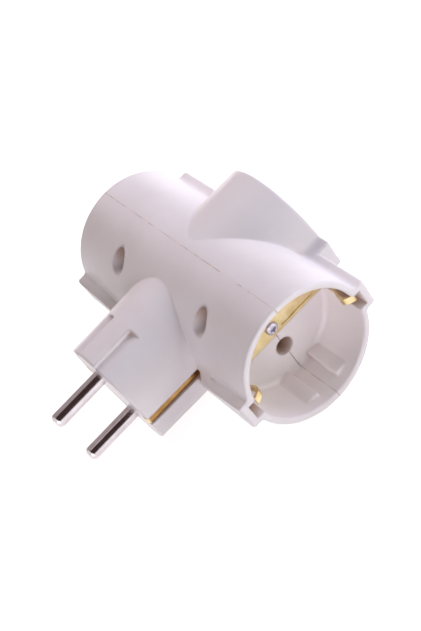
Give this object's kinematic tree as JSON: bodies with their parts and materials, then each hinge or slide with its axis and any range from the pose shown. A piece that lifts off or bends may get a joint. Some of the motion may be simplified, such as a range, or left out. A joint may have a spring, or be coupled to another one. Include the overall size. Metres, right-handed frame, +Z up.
{
  "type": "multi socket adapter",
  "caption": "Mains adapter with a round earthed plug at the front and round earthed sockets at both ends and at the back of a cross tube.",
  "frame": {"origin": "the middle of the plug's end face, halfway between its two pins", "axes": "+Y from the plug back to the rear socket, with the plug's pins pointing along -Y; +X along the cross tube to the right socket; +Z up, with each pair of pins and pin holes in a line along Z"},
  "size_m": [0.09, 0.0917, 0.044],
  "materials": {
    "housing": "glossy moulded off-white plastic",
    "pin_plating": "nickel-plated brass",
    "spring_brass": "bare sheet brass",
    "contact_brass": "bare sheet brass",
    "zinc": "zinc-plated steel"
  },
  "bodies": {
    "root": {"front_shell": "housing", "rear_shell": "housing", "live_pin": "pin_plating", "neutral_pin": "pin_plating", "plug_earth_contact_right": "spring_brass", "plug_earth_contact_left": "spring_brass", "live_bar": "contact_brass", "neutral_bar": "contact_brass", "earth_bar": "contact_brass", "earth_strap_right": "spring_brass", "strap_screw_right": "zinc", "live_sleeve_right": "contact_brass", "neutral_sleeve_right": "contact_brass", "earth_strap_rear": "spring_brass", "strap_screw_rear": "zinc", "live_sleeve_rear": "contact_brass", "neutral_sleeve_rear": "contact_brass", "earth_strap_left": "spring_brass", "strap_screw_left": "zinc", "live_sleeve_left": "contact_brass", "neutral_sleeve_left": "contact_brass", "housing_screw_upper_right": "zinc", "housing_screw_upper_left": "zinc", "housing_screw_lower_right": "zinc", "housing_screw_lower_left": "zinc"}
  },
  "joints": []
}
